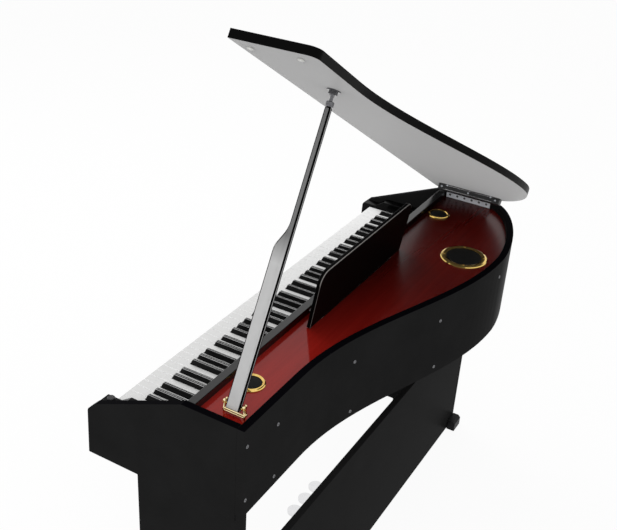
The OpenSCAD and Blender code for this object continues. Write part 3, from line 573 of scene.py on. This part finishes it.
# The finish of each material slot, and of the nodes that differ from their slot
finishes = {
    "case_black": caseBlack, "red_panel": redLacquer(), "inner_board": chipBoard(),
    "foot_black": footBlack, "moulded_black": moulding, "hinge_steel": steel,
    "screw_steel": screwSteel, "frame_steel": frameSteel, "polished_brass": brass,
    "prop_chrome": chrome, "pedal_chrome": chrome, "grille_black": perforated(),
    "driver_black": frameSteel, "circuit_green": circuitBoard(), "bumper_white": bumperWhite,
    "key_white": whiteKeyFinish(), "key_black": blackKeyFinish(),
}
special = {
    "lid": lidFinish(), "music_desk": deskFinish(), "prop_stick": propFinish(),
    "key_rail": railBlack, "control_shelf": innerBlack, "treble_cheek": innerBlack,
    "bass_cheek": innerBlack, "treble_leg": standBlack, "bass_leg": standBlack,
    # the hinge steel is painted darker on the upper leaf and paler on the lower leaf
    "cross_panel": standBlack, "hinge_upper_leaf": shadedLeafSteel, "hinge_lower_leaf": litLeafSteel,
    "prop_tip": darkChrome, "prop_cup": darkChrome,
}
print("materials made")


# CAD nodes: finish, and edges rounded as the real ones are

edgeRadius = {
    "lid": 0.0016, "music_desk": 0.0017, "key_rail": 0.0012, "bentside": 0.0014, "treble_side": 0.0014,
    "bass_side": 0.0014, "treble_leg": 0.001, "bass_leg": 0.001, "cross_panel": 0.001,
    "prop_stick": 0.0028, "left_pedal": 0.0018, "middle_pedal": 0.0018, "right_pedal": 0.0018,
    "rear_feet": 0.002, "pedal_box": 0.0012, "treble_cheek": 0.001, "bass_cheek": 0.001,
    "key_slip": 0.001, "volume_knob": 0.0005, "power_button": 0.0005, "voice_button": 0.0005,
    "rhythm_button": 0.0005, "hinge_lower_leaf": 0.0003, "hinge_upper_leaf": 0.0003,
    "prop_cup": 0.0003, "control_shelf": 0.0008,
}
wideEdges = ("prop_stick", "music_desk")
keyEdge = {"key_white": 0.0011, "key_black": 0.0009}
edgeLook = {"weld": 0.00002, "segments": 2, "angle": 40}


def roundEdges(obj, width, clamped):
    weld = obj.modifiers.new("weld", "WELD")
    weld.merge_threshold = edgeLook["weld"]
    bevel = obj.modifiers.new("edge", "BEVEL")
    bevel.width = width
    bevel.segments = edgeLook["segments"]
    bevel.limit_method = "ANGLE"
    bevel.angle_limit = math.radians(edgeLook["angle"])
    bevel.use_clamp_overlap = clamped
    flatten = obj.modifiers.new("flatten", "WEIGHTED_NORMAL")
    flatten.weight = 100
    flatten.keep_sharp = True


for part in frame["record"]["subparts"]:
    node = nodes[part["node"]]
    material = special.get(part["node"], finishes[part["material_slot"]])
    node.data.materials.clear()
    node.data.materials.append(material)
    width = edgeRadius.get(part["node"], keyEdge.get(part["material_slot"]))
    if width:
        roundEdges(node, width, part["node"] not in wideEdges and part["material_slot"] not in keyEdge)
print("nodes finished")


# Pieces that the photograph shows and the solids lack

def meshPiece(name, mesh, material, body, smooth=True):
    data = bpy.data.meshes.new(name)
    mesh.to_mesh(data)
    mesh.free()
    for polygon in data.polygons:
        polygon.use_smooth = smooth
    obj = bpy.data.objects.new(name, data)
    scene.collection.objects.link(obj)
    data.materials.append(material)
    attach(obj, body)
    return obj


def standOn(place, normal):
    # turns upright things to stand on a surface
    return Matrix.Translation(place) @ normal.to_track_quat("Z", "Y").to_matrix().to_4x4()


def circle(mesh, radius, height, matrix, steps):
    # new points round a circle
    points = []
    for i in range(steps):
        angle = 2 * math.pi * i / steps
        place = Vector((radius * math.cos(angle), radius * math.sin(angle), height))
        points.append(mesh.verts.new(matrix @ place))
    return points


def wall(mesh, lower, upper):
    # faces between two loops, either of which may be a single point
    steps = max(len(lower), len(upper))
    for i in range(steps):
        j = (i + 1) % steps
        if len(lower) == 1:
            mesh.faces.new((lower[0], upper[j], upper[i]))
        elif len(upper) == 1:
            mesh.faces.new((lower[i], lower[j], upper[0]))
        else:
            mesh.faces.new((lower[i], lower[j], upper[j], upper[i]))


def turnProfile(mesh, profile, matrix, steps=24):
    # a turned form: profile points are (radius, height)
    rings = []
    for radius, height in profile:
        if radius < 1e-6:
            rings.append([mesh.verts.new(matrix @ Vector((0, 0, height)))])
        else:
            rings.append(circle(mesh, radius, height, matrix, steps))
    for lower, upper in zip(rings, rings[1:]):
        wall(mesh, lower, upper)


screwLook = {
    "headRatio": 0.45,
    "dome": ((1, 0), (0.98, 0.35), (0.8, 0.8)),
    "land": 0.66,
    "arm": 0.62,
    "slotDepth": 0.35,
    "slotWidth": 0.22,
    "steps": 24,
}


def crossScrew(mesh, place, normal, radius):
    # a domed head with a cross recess, its underside on the surface
    look = screwLook
    matrix = standOn(place, normal)
    height = radius * look["headRatio"]
    depth = height * (1 - look["slotDepth"])
    arm = radius * look["arm"]
    half = radius * look["slotWidth"] / 2
    profile = [(radius * wide, height * tall) for wide, tall in look["dome"]]
    turnProfile(mesh, profile + [(radius * look["land"], height)], matrix, look["steps"])
    # the top is a cross-shaped recess inside a round land
    outline = [(arm, -half), (arm, half), (half, half), (half, arm), (-half, arm), (-half, half),
               (-arm, half), (-arm, -half), (-half, -half), (-half, -arm), (half, -arm), (half, -half)]
    land = circle(mesh, radius * look["land"], height, matrix, look["steps"])
    top = [mesh.verts.new(matrix @ Vector((x, y, height))) for x, y in outline]
    low = [mesh.verts.new(matrix @ Vector((x, y, depth))) for x, y in outline]
    edges = []
    for loop in (land, top):
        for a, b in zip(loop, loop[1:] + loop[:1]):
            edges.append(mesh.edges.new((a, b)))
    bmesh.ops.triangle_fill(mesh, use_beauty=True, edges=edges)
    wall(mesh, top, low)
    mesh.faces.new(low)


ringLook = {
    "rings": (((309, 434), 63), ((104, 272), 32), ((1110, 276), 32)),
    "screws": 4,
    "turn": 20,
    "inset": 0.845,
    "screwRadius": 2.6,
    "boardHeight": 92,
    "seat": 4.6,
}


def ringScrews():
    # brass screws through the rings of the three speakers
    look = ringLook
    mesh = bmesh.new()
    for (x, y), radius in look["rings"]:
        reach = radius * look["inset"]
        for i in range(look["screws"]):
            angle = math.radians(look["turn"] + 360 * i / look["screws"])
            place = atKeys(x + reach * math.cos(angle), y + reach * math.sin(angle),
                           look["boardHeight"] + look["seat"])
            crossScrew(mesh, place, Vector((0, 0, 1)), look["screwRadius"] / 1000)
    meshPiece("ring_screws", mesh, brass, "case", smooth=False)


rodLook = {"tip": 0.7, "tipRise": 0.0001, "shoulder": 0.4, "steps": 16}


def rodBetween(mesh, start, end, radius):
    # a rod with rounded ends, places in millimetres from the keys' corner
    look = rodLook
    low, high = atKeys(*start), atKeys(*end)
    reach, size = (high - low).length, radius / 1000
    half = [(0, 0), (size * look["tip"], look["tipRise"]), (size, size * look["shoulder"])]
    other = [(wide, reach - tall) for wide, tall in reversed(half)]
    turnProfile(mesh, half + other, standOn(low, high - low), look["steps"])


bracketLook = {
    "x": 1213, "rear": 1205, "ys": (280, 326), "board": 92, "top": 114.5,
    "post": 1.7, "ball": 3.9, "rearBall": 2.8, "rod": 1.0, "tieDrop": 6, "footRodRise": 3,
    "foot": 4.2, "footShape": ((0, 0), (1, 0), (1, 1.2), (0.7, 2.4)), "footHeight": 3.2,
    "neck": (1.6, -0.9),
    "ballShape": ((0.75, -0.62), (1, 0), (0.92, 0.4), (0.7, 0.72), (0.38, 0.93), (0, 1)),
    "gateX": 1231, "gateYs": (290, 339), "gateBars": (112, 107), "gateRod": 1.4,
}


def bracketPost(mesh, x, y, ball):
    # a post on a stepped foot, with a ball on top
    look = bracketLook
    tall = look["top"] - look["board"]
    profile = [(look["foot"] * wide, height) for wide, height in look["footShape"]]
    profile += [(look["post"], look["footHeight"]), (look["post"], tall - ball)]
    profile.append((look["post"] * look["neck"][0], tall + ball * look["neck"][1]))
    profile += [(ball * wide, tall + ball * height) for wide, height in look["ballShape"]]
    turnProfile(mesh, [(wide / 1000, height / 1000) for wide, height in profile],
                Matrix.Translation(atKeys(x, y, look["board"])))


def propBracket():
    # thin brass gate that holds the prop's foot: posts with ball tops, bars and a foot rod
    look = bracketLook
    x, rear, gateX = look["x"], look["rear"], look["gateX"]
    mesh = bmesh.new()
    tie = look["top"] - look["tieDrop"]
    for y in look["ys"]:
        bracketPost(mesh, x, y, look["ball"])
        bracketPost(mesh, rear, y, look["rearBall"])
        rodBetween(mesh, (x, y, tie), (rear, y, tie), look["rod"])
    for y, gateY in zip(look["ys"], look["gateYs"]):
        corner = (gateX, gateY, look["gateBars"][0])
        rodBetween(mesh, (gateX, gateY, look["board"]), corner, look["gateRod"])
        rodBetween(mesh, (x, y, look["gateBars"][0]), corner, look["gateRod"])
    for z in look["gateBars"]:
        rodBetween(mesh, (gateX, look["gateYs"][0], z), (gateX, look["gateYs"][1], z), look["gateRod"])
    low = look["board"] + look["footRodRise"]
    rodBetween(mesh, (x, look["ys"][0], low), (x, look["ys"][1], low), look["rod"] * 2)
    piece = meshPiece("bracket_gate", mesh, brightBrass, "case")
    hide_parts("prop_bracket")


barLook = {
    "hinge": (-25.5, 117), "angle": 31.4, "under": 4.5,
    "us": (62, 92), "ys": (240, 430), "thick": 18, "corner": 5, "cornerSteps": 6, "chamfer": 0.8,
    "ribs": (1.5, -10.5), "ribRadius": 0.6, "ribInset": 22,
    "screws": ((-4.5, 252), (-4.5, 335), (-4.5, 418), (1.5, 268), (1.5, 402)), "screwRadius": 3.0,
}


def underLid(u, y, v):
    # a place under the open lid: along it from the hinge, along the hinge, and out of it
    turn = math.radians(barLook["angle"])
    hingeX, hingeZ = barLook["hinge"]
    return atKeys(hingeX + u * math.cos(turn) - v * math.sin(turn), y,
                  hingeZ + u * math.sin(turn) + v * math.cos(turn))


def barOutline():
    # a rectangle with round corners, one corner after the other
    look = barLook
    curve, steps = look["corner"], look["cornerSteps"]
    lowU, highU = look["us"][0] + curve, look["us"][1] - curve
    lowY, highY = look["ys"][0] + curve, look["ys"][1] - curve
    outline = []
    for quarter, (u, y) in enumerate(((highU, highY), (lowU, highY), (lowU, lowY), (highU, lowY))):
        for i in range(steps + 1):
            angle = math.radians(90 * quarter + 90 / steps * i)
            outline.append((u + curve * math.cos(angle), y + curve * math.sin(angle)))
    return outline


def lidBar():
    # black stay bar beside the hinge, its lower edges chamfered
    look = barLook
    thick, chamfer = look["thick"], look["chamfer"]
    middleU, middleY = sum(look["us"]) / 2, sum(look["ys"]) / 2
    mesh = bmesh.new()
    layers = []
    for depth, shrink in ((0, 0), (thick - chamfer, 0), (thick, chamfer)):
        layer = []
        for u, y in barOutline():
            cut = Vector((u - middleU, y - middleY)).normalized() * shrink
            layer.append(mesh.verts.new(underLid(u - cut.x, y - cut.y, look["under"] - depth)))
        layers.append(layer)
    for lower, upper in zip(layers, layers[1:]):
        wall(mesh, lower, upper)
    mesh.faces.new(layers[-1])
    mesh.faces.new(layers[0][::-1])
    bmesh.ops.recalc_face_normals(mesh, faces=mesh.faces)
    meshPiece("lid_stay_bar", mesh, moulding, "lid", smooth=False)


def lidBarTrim():
    # two chrome ribs and the screws, on the bar's side away from the hinge
    look = barLook
    side = look["us"][1]
    ribEnds = (look["ys"][0] + look["ribInset"], look["ys"][1] - look["ribInset"])
    mesh = bmesh.new()
    for v in look["ribs"]:
        ends = [(underLid(side, y, v) - keyZero) * 1000 for y in ribEnds]
        rodBetween(mesh, ends[0], ends[1], look["ribRadius"])
    meshPiece("lid_stay_ribs", mesh, chrome, "lid")
    turn = math.radians(look["angle"])
    outward = Vector((math.cos(turn), 0, math.sin(turn)))
    mesh = bmesh.new()
    for v, y in look["screws"]:
        crossScrew(mesh, underLid(side, y, v), outward, look["screwRadius"] / 1000)
    meshPiece("lid_stay_screws", mesh, steel, "lid", smooth=False)


extraScrew = {"place": (1143, 366.2, 46), "radius": 4.5}


def sideScrew():
    # one more screw at the treble end of the bent side
    mesh = bmesh.new()
    crossScrew(mesh, atKeys(*extraScrew["place"]), Vector((0, 1, 0)), extraScrew["radius"] / 1000)
    meshPiece("side_screw", mesh, screwSteel, "case", smooth=False)


bumperLook = {
    "u": 1292, "ys": (230, 336), "radius": 6.5, "height": 3.6,
    "shape": ((0, 0), (1, 0), (1, 0.5), (0.93, 0.8), (0.75, 0.97), (0, 1)),
}


def lidBumpers():
    # pale rubber discs with a domed face, stuck under the lid
    look = bumperLook
    turn = math.radians(barLook["angle"])
    inward = Vector((math.sin(turn), 0, -math.cos(turn)))
    radius, height = look["radius"] / 1000, look["height"] / 1000
    profile = [(radius * wide, height * tall) for wide, tall in look["shape"]]
    mesh = bmesh.new()
    for y in look["ys"]:
        turnProfile(mesh, profile, standOn(underLid(look["u"], y, barLook["under"]), inward))
    piece = meshPiece("bumper_discs", mesh, bumperWhite, "lid")
    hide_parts("lid_bumpers")


ringScrews()
propBracket()
lidBar()
lidBarTrim()
sideScrew()
lidBumpers()
print("small pieces made")


# Camera, floor and light

cameraLook = {
    "fromKeys": (2474.90, 1136.85, 1275.68),
    "azimuth": 28.504238,
    "elevation": 28.931551,
    "roll": 3.685193,
    "focal": 939.884394,
    "imageWidth": 617,
    "sensor": 36.0,
    "farEnd": 100,
}


def makeCamera():
    look = cameraLook
    azimuth, elevation, roll = (math.radians(look[key]) for key in ("azimuth", "elevation", "roll"))
    back = Vector((math.cos(azimuth) * math.cos(elevation), math.sin(azimuth) * math.cos(elevation),
                   math.sin(elevation)))
    right = Vector((-math.sin(azimuth), math.cos(azimuth), 0))
    up = back.cross(right)
    tiltedRight = math.cos(roll) * right + math.sin(roll) * up
    tiltedUp = -math.sin(roll) * right + math.cos(roll) * up
    place = atKeys(*look["fromKeys"])
    camera = bpy.data.objects.new("photoCamera", bpy.data.cameras.new("photoCamera"))
    scene.collection.objects.link(camera)
    camera.matrix_world = Matrix((
        (tiltedRight.x, tiltedUp.x, back.x, place.x),
        (tiltedRight.y, tiltedUp.y, back.y, place.y),
        (tiltedRight.z, tiltedUp.z, back.z, place.z),
        (0, 0, 0, 1)))
    camera.data.sensor_fit = "HORIZONTAL"
    camera.data.sensor_width = look["sensor"]
    camera.data.lens = look["focal"] / look["imageWidth"] * look["sensor"]
    camera.data.clip_end = look["farEnd"]
    scene.camera = camera


lightLook = {
    "floorSize": 14.0,
    "floorDrop": 0.0005,
    "floorColor": (0.86, 0.86, 0.86),
    "floorRoughness": 0.9,
    "floorWhite": 0.93,
    "worldStrength": 0.75,
    "lamps": [((-1.2, -2.6, 3.6), 2.2, 55), ((2.8, 1.2, 3.4), 2.4, 45)],
    "aimAt": (0, 0, 0.8),
}


def seenOrMirrored(tree):
    # 1 for what the camera sees, directly or in a glossy surface
    path = addNode(tree, "ShaderNodeLightPath")
    either = addNode(tree, "ShaderNodeMath")
    either.operation = "MAXIMUM"
    tree.links.new(path.outputs["Is Camera Ray"], either.inputs[0])
    tree.links.new(path.outputs["Is Glossy Ray"], either.inputs[1])
    return either.outputs[0]


def makeFloor():
    # pale and matt, and nearly white to the camera
    mesh = bmesh.new()
    bmesh.ops.create_grid(mesh, x_segments=2, y_segments=2, size=lightLook["floorSize"])
    data = bpy.data.meshes.new("floor")
    mesh.to_mesh(data)
    mesh.free()
    floor = bpy.data.objects.new("floor", data)
    scene.collection.objects.link(floor)
    floor.location.z = -lightLook["floorDrop"]
    material, tree, shader = newMaterial("paleFloor")
    shader.inputs["Base Color"].default_value = (*lightLook["floorColor"], 1)
    shader.inputs["Roughness"].default_value = lightLook["floorRoughness"]
    shader.inputs["Specular IOR Level"].default_value = 0.0
    glow = addNode(tree, "ShaderNodeEmission", Color=(1, 1, 1, 1), Strength=1.0)
    mix = addNode(tree, "ShaderNodeMixShader")
    share = addNode(tree, "ShaderNodeMath")
    share.operation = "MULTIPLY"
    share.inputs[1].default_value = lightLook["floorWhite"]
    tree.links.new(seenOrMirrored(tree), share.inputs[0])
    tree.links.new(share.outputs[0], mix.inputs["Fac"])
    tree.links.new(shader.outputs["BSDF"], mix.inputs[1])
    tree.links.new(glow.outputs["Emission"], mix.inputs[2])
    tree.links.new(mix.outputs["Shader"], tree.nodes["Material Output"].inputs["Surface"])
    data.materials.append(material)


def makeLight():
    # an even white room and two large soft lamps
    world = bpy.data.worlds.new("studio")
    scene.world = world
    world.use_nodes = True
    tree = world.node_tree
    background = tree.nodes["Background"]
    background.inputs["Color"].default_value = (1, 1, 1, 1)
    level = spread(tree, seenOrMirrored(tree), lightLook["worldStrength"], 1.0)
    tree.links.new(level, background.inputs["Strength"])
    for i, (place, size, power) in enumerate(lightLook["lamps"]):
        lamp = bpy.data.lights.new(f"softbox{i}", "AREA")
        lamp.shape = "SQUARE"
        lamp.size = size
        lamp.energy = power
        obj = bpy.data.objects.new(f"softbox{i}", lamp)
        scene.collection.objects.link(obj)
        obj.location = place
        aim = Vector(lightLook["aimAt"]) - Vector(place)
        obj.rotation_euler = aim.to_track_quat("-Z", "Y").to_euler()
        obj.visible_glossy = False


makeCamera()
makeFloor()
makeLight()
print("camera and light set")
